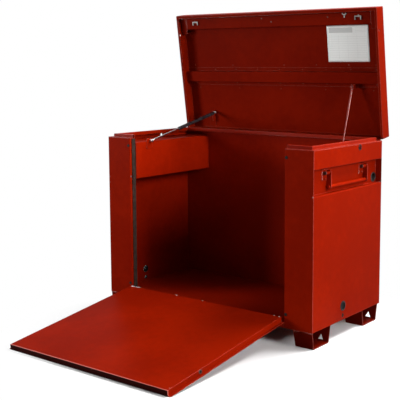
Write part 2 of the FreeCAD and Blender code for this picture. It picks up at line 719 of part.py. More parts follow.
clip_outline = [
    (clip_x - 3.5, clip_s),
    (clip_x + 3.5, clip_s),
    (clip_x + 3.5, clip_s + 10.0),
    (clip_x + 14.0, clip_s + 20.0),
    (clip_x + 8.0, clip_s + 21.5),
    (clip_x, clip_s + 15.5),
    (clip_x - 8.0, clip_s + 21.5),
    (clip_x - 14.0, clip_s + 20.0),
    (clip_x - 3.5, clip_s + 10.0),
]
save("lid_clip", lid_blade(clip_outline, RAIL_DEPTH, RAIL_DEPTH + SHEET))
CARD_WIDTH = 231.0
CARD_GAP = 28.2
CARD = 0.6
card_x = lid_half - 82.0
card_s = rail_start - 8.0
save("lid_card", lid_box(card_x - CARD_WIDTH, card_x, hat_end + CARD_GAP, card_s, SHEET, SHEET + CARD))

# Gas strut on the left: ball ends, rod and cylinder, with a bracket at each end
EYE_REACH = 7.0
STRUT_X = -cover_x + EYE_REACH + 7.6
strut_low = (front + DEPTH * 0.221, housing_top + 4.0)
strut_high = lid_point(lid_run * 0.1412, 17.0)
strut_run = math.hypot(strut_high[0] - strut_low[0], strut_high[1] - strut_low[1])
strut_way = V(0, (strut_high[0] - strut_low[0]) / strut_run, (strut_high[1] - strut_low[1]) / strut_run)
strut_foot = V(STRUT_X, strut_low[0], strut_low[1])
strut_head = V(STRUT_X, strut_high[0], strut_high[1])
BALL_RADIUS = 7.0
STRUT_ROD = 4.0
STRUT_TUBE = 9.0
cylinder_length = strut_run * 0.5656
NECK = 16.0


def along(start, way, a, b, r):
    """A cylinder on a line, from a to b along it."""
    return Part.makeCylinder(r, b - a, start + way * a, way)


def ball_end(centre, way, neck, seat):
    """A socket across the line with a threaded neck along it."""
    drum = Part.makeCylinder(BALL_RADIUS, 2 * EYE_REACH, centre - V(EYE_REACH, 0, 0), V(1, 0, 0))
    drum = drum.makeFillet(1.5, drum.Edges[:1] + drum.Edges[2:])
    shank = along(centre, way, 0.0, neck, 5.0)
    whole = drum.fuse(shank)
    return whole.cut(along(centre, way, neck - 8.0, neck + 1.0, seat))


save("strut_foot_socket", ball_end(strut_foot, strut_way, NECK, STRUT_ROD))
save("strut_head_socket", ball_end(strut_head, strut_way * -1, NECK, STRUT_ROD))
cylinder_start = strut_run - NECK - cylinder_length
rod = along(strut_foot, strut_way, NECK - 8.0, cylinder_start + cylinder_length * 0.417, STRUT_ROD)
save("strut_rod", rod)
tube = along(strut_foot, strut_way, cylinder_start, strut_run - NECK, STRUT_TUBE)
tube_rims = [e for e in tube.Edges if e.Length < 60.0 and e.Length > 40.0]
tube = tube.makeFillet(2.0, tube_rims)
tube_end = strut_run - NECK
tube = tube.cut(along(strut_foot, strut_way, cylinder_start - 1.0, tube_end - 6.0, STRUT_ROD + SLIDE_FIT))
tube = tube.fuse(along(strut_foot, strut_way, tube_end, tube_end + 8.0, STRUT_ROD))
save("strut_cylinder", tube)
strut_plate = box(
    -cover_x, -cover_x + 2.5, strut_low[0] - 22.0, strut_low[0] + 22.0,
    housing_top - 36.0, strut_low[1] + 12.0,
)
plate_top = [e for e in strut_plate.Edges if e.BoundBox.XLength > 2.4 and e.BoundBox.ZMin > housing_top]
strut_plate = strut_plate.makeFillet(10.0, plate_top)
stud_start = -cover_x + 2.5
stud = rod_x(stud_start, STRUT_X - EYE_REACH - JOINT_GAP, strut_low[0], strut_low[1], 4.5)
save("strut_foot_bracket", strut_plate.fuse(stud))
ear_x = STRUT_X - EYE_REACH - 9.0
head_s = lid_run * 0.1412
base = lid_box(ear_x - 34.0, ear_x + 3.0, head_s - 80.0, head_s + 4.0, SHEET, SHEET + 2.5)
ear = lid_box(ear_x, ear_x + 3.0, head_s - 48.0, head_s + 10.0, SHEET, 26.0)
head_stud = rod_x(ear_x + 3.0, STRUT_X - EYE_REACH - JOINT_GAP, strut_high[0], strut_high[1], 4.5)
save("strut_head_bracket", base.fuse([ear, head_stud]))

# Telescopic stay on the right: rod, tube and their eyes
EYE_HALF = 6.0
STAY_X = cover_x - EYE_HALF - 6.6
stay_low = (back - DEPTH * 0.1473, housing_top - 10.0)
stay_s = HAT_START - 15.0
stay_high = lid_point(stay_s, 38.0)
stay_run = math.hypot(stay_high[0] - stay_low[0], stay_high[1] - stay_low[1])
stay_way = V(0, (stay_high[0] - stay_low[0]) / stay_run, (stay_high[1] - stay_low[1]) / stay_run)
stay_foot = V(STAY_X, stay_low[0], stay_low[1])
STAY_ROD = 3.5
STAY_TUBE = 5.5
EYE_RADIUS = 7.0
tube_start = stay_run * 0.498


def eye(y, z):
    """A flat round eye on the stay."""
    return rod_x(STAY_X - EYE_HALF, STAY_X + EYE_HALF, y, z, EYE_RADIUS)


stay_rod = along(stay_foot, stay_way, 0.0, tube_start + 12.0, STAY_ROD)
save("stay_rod", stay_rod.fuse(eye(*stay_low)))
stay_tube = along(stay_foot, stay_way, tube_start, stay_run - 3.0, STAY_TUBE)
stay_tube = stay_tube.cut(along(stay_foot, stay_way, tube_start - 1.0, stay_run - 5.0, STAY_ROD + SLIDE_FIT))
save("stay_tube", stay_tube.fuse(eye(*stay_high)))
stay_edge = STAY_X + EYE_HALF + JOINT_GAP
foot_plate = box(
    cover_x - 2.5, cover_x, stay_low[0] - 16.0, stay_low[0] + 16.0, stay_low[1] - 24.0, housing_top - 2.0
)
foot_stud = rod_x(stay_edge, cover_x - 2.5, stay_low[0], stay_low[1], 4.0)
save("stay_foot_bracket", foot_plate.fuse(foot_stud))
arm_x = stay_edge + 3.0
base_top = 2 * SHEET
stay_base = lid_box(arm_x, arm_x + 22.0, stay_s - 11.0, stay_s + 12.0, base_top, base_top + 2.5)
stay_ear = lid_box(arm_x, arm_x + 2.5, stay_s - 11.0, stay_s + 12.0, base_top, 47.0)
stay_stud = rod_x(stay_edge, arm_x, stay_high[0], stay_high[1], 4.0)
save("stay_head_bracket", stay_base.fuse([stay_ear, stay_stud]))

# The middle of the opened chest, from the far edge of the door to the back of the raised lid
reaches = [shape.optimalBoundingBox(False) for shape in pieces.values()]
door_end = min(reach.YMin for reach in reaches)
lid_end = max(reach.YMax for reach in reaches)
shift = V(0, round(-(door_end + lid_end) / 2, 2), 0)
for name, shape in pieces.items():
    shape.translate(shift)
    shape.exportStep("parts/" + name + ".step")
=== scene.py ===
# %% [markdown]
# # A steel jobsite chest, dressed for the camera
# The solids of the chest arrive packed in one shared frame, in metres. This lesson gives them
# paint, metal, rubber and paper, adds the small things that a press shop and a welder leave
# behind, and lights them plainly.

# %% Load the solids
import bpy
import json
import math
from mathutils import Matrix, Vector


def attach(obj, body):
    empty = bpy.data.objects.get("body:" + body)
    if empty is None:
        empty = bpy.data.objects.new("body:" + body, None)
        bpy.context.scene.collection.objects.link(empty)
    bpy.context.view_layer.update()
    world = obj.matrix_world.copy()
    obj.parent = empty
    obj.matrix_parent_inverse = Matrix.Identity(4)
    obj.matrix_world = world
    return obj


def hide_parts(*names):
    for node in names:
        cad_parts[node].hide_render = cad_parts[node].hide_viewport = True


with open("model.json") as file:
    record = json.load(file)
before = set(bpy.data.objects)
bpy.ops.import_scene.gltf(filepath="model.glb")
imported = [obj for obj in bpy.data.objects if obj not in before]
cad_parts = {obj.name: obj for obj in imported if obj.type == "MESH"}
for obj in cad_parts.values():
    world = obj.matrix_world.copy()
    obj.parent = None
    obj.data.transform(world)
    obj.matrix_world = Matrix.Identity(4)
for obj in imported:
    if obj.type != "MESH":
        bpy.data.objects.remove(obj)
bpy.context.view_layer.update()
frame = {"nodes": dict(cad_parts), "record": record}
nodes = frame["nodes"]
MM = 0.001

# %% [markdown]
# ## The camera
# The photograph was taken from the right and a little above, with a long lens. A camera could be
# turned until the chest sits where it should, but then its upright edges would lean. The eye
# point, heading and lens are instead fitted to the edges of the real chest, and the film is
# shifted, because the picture is a crop of a wider view in which upright edges stay upright.

# %% Camera
EYE = (2.5449, -3.0413, 1.2289)
LOOK_DOWN = 0.11665
HEADING = 0.63578
FILM = 36.0
LENS = 78.04
FILM_SHIFT = (-0.12225, -0.0836)
camera_data = bpy.data.cameras.new("catalogue_camera")
camera = bpy.data.objects.new("catalogue_camera", camera_data)
bpy.context.scene.collection.objects.link(camera)
camera.location = EYE
camera.rotation_euler = (math.pi / 2 - LOOK_DOWN, 0.0, HEADING)
camera_data.sensor_width = FILM
camera_data.lens = LENS
camera_data.shift_x, camera_data.shift_y = FILM_SHIFT
camera_data.clip_end = 60.0
bpy.context.scene.camera = camera
print("camera", tuple(round(v, 2) for v in camera.location), "lens", camera_data.lens)

# %% [markdown]
# ## Numbers that add their own nodes
# A shader is arithmetic drawn as boxes. Wiring each Math node by hand hides the formula, so a
# small class wraps a socket and lets Python's own operators add the nodes.


# %% Number
class Number:
    """A value in a node tree. Arithmetic on it adds Math nodes."""

    def __init__(self, finish, socket):
        self.finish = finish
        self.socket = socket

    def __add__(self, other):
        return self.finish.maths("ADD", self, other)

    def __sub__(self, other):
        return self.finish.maths("SUBTRACT", self, other)

    def __rsub__(self, other):
        return self.finish.maths("SUBTRACT", other, self)

    def __mul__(self, other):
        return self.finish.maths("MULTIPLY", self, other)


print("a Number knows +, - and *")

# %% [markdown]
# ## A finish under construction
# Every material here starts from one Principled shader and a few nodes that recur: noise, a soft
# step between two values, a mix of two colours, a bump. They could be copied from material to
# material, but a class that makes any node, with its settings first and its sockets after, keeps
# each recipe down to the few lines that differ.


# %% Finish
class Finish:
    """A material under construction, round one Principled shader."""

    def __init__(self, name, **shader):
        self.material = bpy.data.materials.new(name)
        self.material.use_nodes = True
        self.tree = self.material.node_tree
        self.tree.nodes.clear()
        out = self.tree.nodes.new("ShaderNodeOutputMaterial")
        self.shader = self.node("ShaderNodeBsdfPrincipled", {}, shader)
        self.tree.links.new(self.shader.outputs[0], out.inputs[0])
        self.place = self.node("ShaderNodeTexCoord").outputs["Object"]

    def node(self, kind, settings=None, sockets=None):
        made = self.tree.nodes.new(kind)
        for key, value in (settings or {}).items():
            setattr(made, key, value)
        for key, value in (sockets or {}).items():
            self.feed(made.inputs[key], value)
        return made

    def feed(self, socket, value):
        if isinstance(value, Number):
            self.tree.links.new(value.socket, socket)
        elif isinstance(value, bpy.types.NodeSocket):
            self.tree.links.new(value, socket)
        elif isinstance(value, tuple) and len(value) == 3 and socket.type == "RGBA":
            socket.default_value = (*value, 1.0)
        else:
            socket.default_value = value

    def maths(self, operation, *values):
        made = self.node("ShaderNodeMath", {"operation": operation}, dict(enumerate(values)))
        return Number(self, made.outputs[0])

    def vector(self, operation, first, second):
        settings = {"operation": operation}
        made = self.node("ShaderNodeVectorMath", settings, {0: first, 1: second})
        return Number(self, made.outputs["Value"])

    def noise(self, scale, detail=2.0, roughness=0.5, stretch=None):
        where = self.place
        if stretch:
            sockets = {"Vector": self.place, "Scale": stretch}
            where = self.node("ShaderNodeMapping", {}, sockets).outputs[0]
        sockets = {"Vector": where, "Scale": scale, "Detail": detail, "Roughness": roughness}
        return Number(self, self.node("ShaderNodeTexNoise", {}, sockets).outputs[0])

    def band(self, value, low, high):
        """A soft step from 0 at low to 1 at high."""
        settings = {"interpolation_type": "SMOOTHSTEP", "clamp": True}
        sockets = {0: value, 1: low, 2: high, 3: 0.0, 4: 1.0}
        return Number(self, self.node("ShaderNodeMapRange", settings, sockets).outputs[0])

    def mix(self, share, first, second):
        sockets = {0: share, 6: first, 7: second}
        return self.node("ShaderNodeMix", {"data_type": "RGBA"}, sockets).outputs[2]

    def soft_edge(self, radius):
        """The normal rounded over sharp edges, and how far it leaves the flat one."""
        rounded = self.node("ShaderNodeBevel", {"samples": 4}, {"Radius": radius}).outputs[0]
        true_normal = self.node("ShaderNodeNewGeometry").outputs["Normal"]
        return rounded, self.band(self.vector("DOT_PRODUCT", rounded, true_normal), 0.995, 0.85)

    def bump(self, height, distance, strength=1.0, normal=None):
        sockets = {"Height": height, "Distance": distance, "Strength": strength}
        if normal is not None:
            sockets["Normal"] = normal
        return self.node("ShaderNodeBump", {}, sockets).outputs[0]

    def set(self, **sockets):
        for key, value in sockets.items():
            self.feed(self.shader.inputs[key.replace("_", " ")], value)
        return self.material


print("a Finish makes nodes, bands, mixes, soft edges and bumps")

# %% [markdown]
# ## Red-brown powder coat
# Every sheet of the chest wears one baked coat. Real powder coat is not flat: it pools into a
# fine orange-peel skin, and the sheet under it is never quite flat, so reflections wander. One
# flat colour would make the chest look like plastic. A noise at three sizes makes skin, waviness
# and slight changes of tone, and a Bevel node finds the folds, so no edge has to be marked by
# hand. Along the folds a pale pink is painted into the colour, in patches, as a painted highlight.

# %% Powder coat
COAT = (0.262, 0.0088, 0.0005)
COAT_DEEP = (0.205, 0.0062, 0.0004)
# A pale pink, painted into the coat along folds as a painted highlight.
PAINTED_FOLD_HIGHLIGHT = (0.56, 0.12, 0.09)
CLOUD = 2.4
MOTTLE = 34.0
PEEL = 420.0
WAVE = 5.5
FOLD_HIGHLIGHT_PATCHES = 90.0
FOLD_RADIUS = 3.0 * MM
PEEL_DEPTH = 0.05 * MM
WAVE_DEPTH = 3.0 * MM


def toned(colour, tone):
    return tuple(c * tone for c in colour)


def powder_coat(name, shift, gloss, shine=0.0, tone=1.0, edge_light=None):
    """Shift moves the pattern, shine adds a clear coat, tone darkens, and the last argument paints
    a highlight and a shade at an edge.
    """
    finish = Finish(name, **{"Specular IOR Level": 0.007, "Coat Roughness": 0.16})
    rounded, fold = finish.soft_edge(FOLD_RADIUS)
    cloud = finish.noise(CLOUD + shift, 3.0)
    mottle = finish.noise(MOTTLE + shift, 3.0, 0.6)
    peel = finish.noise(PEEL, 1.0)
    wave = finish.noise(WAVE + shift, 1.0)
    shade = finish.band(cloud * 0.7 + mottle * 0.3, 0.36, 0.64)
    colour = finish.mix(shade, toned(COAT_DEEP, tone), toned(COAT, tone))
    # Painted highlight: the pale pink is mixed into the colour along the folds, in noise patches.
    highlight_patches = finish.band(finish.noise(FOLD_HIGHLIGHT_PATCHES, 3.0, 0.7), 0.35, 0.7)
    colour = finish.mix(fold * (highlight_patches * 0.7 + 0.08), colour, PAINTED_FOLD_HIGHLIGHT)
    skin = finish.bump(peel, PEEL_DEPTH, 0.5, rounded)
    skin = finish.bump(wave, WAVE_DEPTH, 0.35, skin)
    rough = mottle * 0.08 + gloss - fold * 0.06
    gleam = fold * 0.6 + shine
    if edge_light:
        colour, gleam = edge_highlight_and_shade(finish, colour, gleam, *edge_light)
    return finish.set(Base_Color=colour, Roughness=rough, Coat_Weight=gleam, Normal=skin)


print("powder coat", COAT)

# %% [markdown]
# ## Painted highlight and shade on a free edge
# The door's free edge gets a pale, glossy band along its fold as a painted highlight, and its
# narrow end face is painted near black as painted shade. Both could be painted on a picture, but
# a picture would have to be unwrapped. The distance along the door picks out both bands as well,
# and needs two soft steps.

# %% Painted highlight and shade on an edge
# A near-black painted shade for the narrow end face of the edge.
PAINTED_END_SHADE = (0.03, 0.004, 0.003)
HIGHLIGHT_FROM, HIGHLIGHT_TO = 4.4 * MM, 3.4 * MM
FACE_FROM, FACE_TO = 1.0 * MM, 0.4 * MM


def edge_highlight_and_shade(finish, colour, gleam, way, edge):
    """Colour and clear coat, with painted highlight and painted shade where the distance along a
    way comes near the edge.
    """
    along = finish.vector("DOT_PRODUCT", finish.place, way)
    highlight = finish.band(along, edge - HIGHLIGHT_FROM, edge - HIGHLIGHT_TO)
    face = finish.band(along, edge - FACE_FROM, edge - FACE_TO)
    # Painted highlight: a pale band before the edge. Painted shade: the end face itself.
    colour = finish.mix(face, finish.mix(highlight, colour, PAINTED_FOLD_HIGHLIGHT), PAINTED_END_SHADE)
    gleam = finish.maths("MAXIMUM", gleam, highlight * 0.9) * (1.0 - face)
    return colour, gleam


print("rubbed from", HIGHLIGHT_FROM, "m before the edge")

# %% [markdown]
# ## Coats for body, lid, door, handles and small parts
# One material could paint everything, but the body, lid, door and handles each have a slot of
# their own, so that they can be repainted apart. The lid's inside is in its own shade, so its
# coat is toned down. Welds keep a wet shine, and rims and hinges are polished by gloves. The
# skids get the darkest coat, toned down to half as painted shade under the chest.

# %% Coats
paints = {
    "paint_body": powder_coat("powder_coat_body", 0.0, 0.34),
    "paint_lid": powder_coat("powder_coat_lid", 0.3, 0.36, tone=0.78),
    "paint_door": powder_coat("powder_coat_door", 0.6, 0.35),
    "paint_handle": powder_coat("powder_coat_handle", 0.9, 0.32),
}
bead_paint = powder_coat("powder_coat_beads", 1.2, 0.2, shine=0.9)
handled_paint = powder_coat("powder_coat_handled", 1.5, 0.3, shine=0.09)
# Painted shade: the skids' coat is toned down to half its colour.
skid_paint_shaded = powder_coat("powder_coat_skids_shaded", 1.8, 0.42, tone=0.5)
print("paints", sorted(paints), "and", bead_paint.name, handled_paint.name, skid_paint_shaded.name)

# %% [markdown]
# ## Plated and bright steel
# Pins, latches, locks and the strut's ends are zinc plated: a dull grey with a faint spangle.
# Beside it is a dark grey plating, painted as shade on plated parts in holes, in recesses and
# inside the lid. The strut's rod is ground and polished, with fine rings round it. They could
# be three materials made apart, but one recipe that takes colours, grain, stretch and roughness
# keeps them alike.

# %% Metals
METAL_FOLD = 0.5 * MM
SPANGLE_DEPTH = 0.03 * MM


def metal(name, dark, light, grain, rough, stretch=None):
    finish = Finish(name, Metallic=1.0)
    rounded, fold = finish.soft_edge(METAL_FOLD)
    spangle = finish.noise(grain, 3.0, 0.6, stretch)
    tarnish = finish.noise(60.0, 2.0)
    colour = finish.mix(finish.band(spangle * 0.6 + tarnish * 0.4, 0.35, 0.65), dark, light)
    skin = finish.bump(spangle, SPANGLE_DEPTH, 0.4, rounded)
    rough = spangle * 0.2 + rough - fold * 0.08
    return finish.set(Base_Color=colour, Roughness=rough, Normal=skin)


ROD_RINGS = (1.0, 0.1, 0.4)
zinc = metal("zinc_plate", (0.42, 0.43, 0.44), (0.66, 0.66, 0.65), 320.0, 0.22)
# Painted shade: a dark grey plating for plated parts in holes, in recesses and inside the lid.
zinc_painted_shade = metal("zinc_painted_shade", (0.055, 0.050, 0.048), (0.16, 0.145, 0.135), 240.0, 0.34)
bright = metal("ground_rod", (0.70, 0.71, 0.73), (0.86, 0.87, 0.88), 900.0, 0.06, ROD_RINGS)
print("metals", zinc.name, zinc_painted_shade.name, bright.name)

# %% [markdown]
# ## Black enamel, rubber, foam and plastic
# The strut's cylinder is black enamel with a hard shine, the buffers are rubber, the strips
# beside the door are closed-cell foam, and the port rings are moulded plastic. Plain black would
# show no form at all, so each gets a fine grain and a slight change of shade. They differ in
# roughness and grain alone, so one recipe serves them. Foam also has pits, from a cell pattern.

# %% Dark materials
DARK_FOLD = 0.6 * MM


def dark_skin(name, low, high, grain, rough, relief, pits=0.0, shine=0.4):
    finish = Finish(name, **{"Specular IOR Level": shine})
    rounded, fold = finish.soft_edge(DARK_FOLD)
    fine = finish.noise(grain, 3.0, 0.6)
    patch = finish.noise(45.0, 2.0)
    colour = finish.mix(finish.band(fine * 0.5 + patch * 0.5, 0.35, 0.65), low, high)
    height = fine
    if pits:
        sockets = {"Vector": finish.place, "Scale": pits}
        cells = finish.node("ShaderNodeTexVoronoi", {}, sockets)
        height = fine * 0.3 + finish.band(Number(finish, cells.outputs["Distance"]), 0.1, 0.5)
    skin = finish.bump(height, relief, 0.6, rounded)
    rough = patch * 0.1 + rough - fold * 0.1
    return finish.set(Base_Color=colour, Roughness=rough, Normal=skin)


enamel = dark_skin(
    "black_enamel", (0.012, 0.011, 0.013), (0.03, 0.027, 0.03), 500.0, 0.16, 0.02 * MM
)
rubber = dark_skin(
    "buffer_rubber", (0.003, 0.003, 0.003), (0.009, 0.008, 0.008), 700.0, 0.55, 0.06 * MM,
    shine=0.1,
)
foam = dark_skin(
    "foam_strip", (0.018, 0.010, 0.008), (0.046, 0.027, 0.021), 600.0, 0.75, 0.25 * MM,
    pits=900.0, shine=0.05,
)
plastic = dark_skin(
    "port_plastic", (0.003, 0.003, 0.003), (0.008, 0.007, 0.007), 900.0, 0.3, 0.05 * MM,
    shine=0.12,
)
finishes = {
    **paints, "zinc": zinc, "bright": bright, "black_strut": enamel, "rubber": rubber,
    "seal": foam, "black_plastic": plastic,
}
print("finishes", sorted(finishes))

# %% [markdown]
# ## The card inside the lid
# A sheet of paper in a plain sleeve is stuck inside the lid. It is a blank form with a grey
# heading bar, ruled rows and a fine margin. The lines could be cut as meshes, but thin ink has no
# height, so they are worked out from the place on the sheet. The pattern reads the card's own UV
# map, so it stays put when the lid moves.

# %% Paper
PAPER = (0.95, 1.0, 0.97)
INK = (0.36, 0.38, 0.37)
TOP_ROW = (0.80, 0.94)
FORM_ROW = (0.08, 0.74)
FORM_WIDTH = (0.05, 0.94)
FORM_FRAME = (0.04, 0.95)
HEADING_WIDTH = (0.05, 0.62)
NOTE_WIDTH = (0.68, 0.94)


def printed_card():
    sleeve = {"Coat Weight": 0.8, "Coat Roughness": 0.12}
    finish = Finish("ruled_card", Roughness=0.42, **sleeve)
    uv = finish.node("ShaderNodeUVMap", {"uv_map": "sheet"}).outputs[0]
    parts = finish.node("ShaderNodeSeparateXYZ", {}, {0: uv})
    across, up = (Number(finish, parts.outputs[i]) for i in (0, 1))

    def inside(value, span):
        above = finish.maths("GREATER_THAN", value, span[0])
        return above * finish.maths("LESS_THAN", value, span[1])

    def ruled(value, count, width):
        step = finish.maths("FRACT", value * count)
        return finish.maths("LESS_THAN", step, width)

    heading = inside(across, HEADING_WIDTH) * inside(up, TOP_ROW)
    rows = ruled(up, 16.0, 0.10) * inside(up, FORM_ROW) * inside(across, FORM_WIDTH)
    stiles = ruled(across - 0.05, 4.5, 0.02) * inside(up, FORM_ROW) * inside(across, FORM_FRAME)
    note = inside(across, NOTE_WIDTH) * ruled(up, 26.0, 0.28) * inside(up, TOP_ROW)
    ink = finish.maths("MAXIMUM", finish.maths("MAXIMUM", rows, stiles) * 0.35, note * 0.3)
    ink = finish.maths("MAXIMUM", ink, heading * 0.62)
    fibre = finish.noise(900.0, 3.0)
    paper = finish.mix(finish.band(fibre, 0.3, 0.7), toned(PAPER, 0.95), PAPER)
    skin = finish.bump(fibre, 0.02 * MM, 0.4)
    return finish.set(Base_Color=finish.mix(ink, paper, INK), Normal=skin)


finishes["card"] = printed_card()
print("card", finishes["card"].name)

# %% [markdown]
# ## Paint the solids
# The solids already have the right shapes, so each keeps its mesh and only gets a finish. The
# imported record says which slot every one belongs to. A few look better in another tint of what
# their slot names: plating darkened as painted shade, glossy welds, handled rims, and skids
# darkened as painted shade.

# %% Assign finishes
slot_of = {row["node"]: row["material_slot"] for row in frame["record"]["subparts"]}
tints = [
    (finishes["paint_body"], ("strut_foot_bracket",)),
    (finishes["paint_lid"], ("strut_head_bracket",)),
    # Painted shade: plated parts in holes, in recesses and inside the lid get the dark grey zinc.
    (zinc_painted_shade, ("lid_latch_hoops", "door_strikes", "lid_clip", "lock_cups")),
    (zinc_painted_shade, ("right_lock_plug", "left_lock_plug", "handle_pins")),
    (bead_paint, ("stay_rod", "stay_tube")),
    (skid_paint_shaded, ("front_skids", "rear_skids")),
    (handled_paint, ("top_rim", "lid_hinge_lid_leaf", "lid_hinge_wall_leaf")),
    (handled_paint, ("door_hinge_sill_leaf", "door_hinge_door_leaf")),
]
tinted = {name: tint for tint, names in tints for name in names}
for name, solid in nodes.items():
    solid.data.materials.clear()
    solid.data.materials.append(tinted.get(name) or finishes[slot_of[name]])
print("painted", len(slot_of), "of them tinted", len(tinted))

# %% [markdown]
# ## Places on the chest and its raised lid
# The frame's origin is under the middle of the opened chest, so places on the body are measured
# from the body's own middle and moved back. Places on the raised lid could be worked out with a
# pencil, but the lid is easiest to describe shut, by x, the distance from its rear face and the
# depth below its top. The same turn that raises the real lid then carries them to where they are.

# %% Lid places
BODY_MIDDLE = 346.48
LID_AXIS = Vector((0.0, BODY_MIDDLE + 309.8, 871.0))
LID_REAR = BODY_MIDDLE + 305.5
LID_TOP = 938.5
LID_RAISED = 81.8
raise_lid = Matrix.Rotation(math.radians(-LID_RAISED), 3, "X")
LID_INWARD = raise_lid @ Vector((0.0, 0.0, -1.0))
LID_BACKWARD = raise_lid @ Vector((0.0, 1.0, 0.0))


def on_body(x, y, z):
    return Vector((x, y + BODY_MIDDLE, z)) * MM


def on_lid(x, rear, deep):
    shut = Vector((x, LID_REAR - rear, LID_TOP - deep))
    return (raise_lid @ (shut - LID_AXIS) + LID_AXIS) * MM


print("lid inward", tuple(round(v, 3) for v in LID_INWARD))

# %% [markdown]
# ## Places on the lowered door
# The door is described shut too, with its flat outer face to the front, and then let down by the
# same turn as the real one. Up is the distance from its hinge and deep the distance into it.

# %% Door places
DOOR_AXIS_Z = 106.4
DOOR_AXIS = Vector((0.0, BODY_MIDDLE - 308.1, DOOR_AXIS_Z))
DOOR_FRONT = BODY_MIDDLE - 309.8
DOOR_LOWERED = 97.826
lower_door = Matrix.Rotation(math.radians(DOOR_LOWERED), 3, "X")
DOOR_INWARD = lower_door @ Vector((0.0, 1.0, 0.0))
DOOR_AWAY = lower_door @ Vector((0.0, 0.0, 1.0))


def on_door(x, up, deep):
    shut = Vector((x, DOOR_FRONT + deep, DOOR_AXIS_Z + up))
    return (lower_door @ (shut - DOOR_AXIS) + DOOR_AXIS) * MM


print("door inward", tuple(round(v, 3) for v in DOOR_INWARD))

# %% [markdown]
# ## The door's painted edge light
# The outer sheet and the inner pan end at the same free edge, so they share one coat with the
# painted highlight and shade at that edge. It is the door's own recipe, told the way along the
# door and where that edge lies.

# %% Door with painted edge light
DOOR_END = 764.6
end_at = on_door(0.0, DOOR_END, 0.0).dot(DOOR_AWAY)
door_paint_edge_light = powder_coat("powder_coat_edge_light", 0.6, 0.35, edge_light=(tuple(DOOR_AWAY), end_at))
for name in ("door_outer_skin", "door_inner_pan"):
    nodes[name].data.materials[0] = door_paint_edge_light
print("the door's edge is", round(end_at, 4), "m along")

# %% [markdown]
# ## Turned shapes
# Screw heads, rivets and washers are all turned on a lathe. They could be modelled one by one,
# but a profile spun round an axis makes each of them from a short list of radii and heights. The
# ring is kept to a few sides because heads are small and repeated.


# %% Lathe
def new_mesh(name, points, faces):
    mesh = bpy.data.meshes.new(name)
    mesh.from_pydata([tuple(p) for p in points], [], faces)
    mesh.update()
    return mesh


def lathe(name, profile, sides=12):
    """A closed solid of revolution about Z. The profile runs from the foot to the crown."""
    points = []
    faces = []
    for radius, height in profile:
        for i in range(sides):
            a = 2 * math.pi * i / sides
            points.append((radius * math.cos(a) * MM, radius * math.sin(a) * MM, height * MM))
    for ring in range(len(profile) - 1):
        for i in range(sides):
            j = (i + 1) % sides
            a, b = ring * sides, (ring + 1) * sides
            faces.append((a + i, a + j, b + j, b + i))
    faces.append(tuple(reversed(range(sides))))
    faces.append(tuple(range((len(profile) - 1) * sides, len(profile) * sides)))
    return bpy.data.objects.new(name, new_mesh(name, points, faces))


print("the lathe is ready")

# %% [markdown]
# ## Heads, spots and ridges
# Six small forms recur on the chest: a domed rivet, the dimple of a spot weld, a flat screw, a
# nut with a chamfered crown and a stub of thread, one blob of a weld bead, and one ridge of a
# thread. Each foot starts just under the surface it stands on, so no gap shows beneath it.

# %% Heads
NUT_ACROSS, NUT_THICK, NUT_BORE = 10.0, 4.5, 2.6
nut_corner = NUT_ACROSS / math.sqrt(3)
nut_profile = [
    (nut_corner, 0.0), (nut_corner, NUT_THICK * 0.8), (nut_corner * 0.88, NUT_THICK),
    (NUT_BORE, NUT_THICK), (NUT_BORE * 0.9, NUT_THICK + 1.4),
]
RIVET = lathe("rivet", [(3.4, -0.3), (3.4, 0.2), (2.9, 0.9), (1.7, 1.4), (0.6, 1.6)])
WELD_SPOT = lathe("weld_spot", [(3.2, -0.2), (3.0, 0.1), (2.2, 0.28), (1.4, 0.12), (0.5, 0.05)])
FLAT_SCREW = lathe("flat_screw", [(2.6, -0.3), (2.6, 0.3), (1.9, 0.55), (0.9, 0.25), (0.3, 0.2)])
NUT = lathe("bracket_nut", nut_profile, 6)
RIPPLE = lathe("weld_ripple", [(2.4, -1.6), (2.9, -0.4), (2.4, 0.7), (1.4, 1.35), (0.3, 1.55)], 8)
THREAD = lathe("thread_ridge", [(4.6, -0.5), (5.35, -0.1), (5.35, 0.1), (4.6, 0.5)], 16)
print("heads", [o.name for o in (RIVET, WELD_SPOT, FLAT_SCREW, NUT, RIPPLE, THREAD)])

# %% [markdown]
# ## Scatter heads on points
# A hundred rivets are one rivet and a hundred places. Copies could be placed in a Python loop,
# but a Geometry Nodes tree does it in one go: it takes points that carry the direction each head
# faces, turns a copy of the head to it and makes the copies real. A row of overlapping blobs
# along a path is also what a weld bead is, so the same tree draws beads when the points stand
# close together and each copy gets its own small change of size.

# %% Scatter tree
SCATTER_INPUTS = [
    ("Places", "Geometry"), ("Head", "Object"), ("Finish", "Material"), ("Smallest", "Float"),
    ("Largest", "Float"), ("Seed", "Int"),
]
FULL_TURN = 6.28


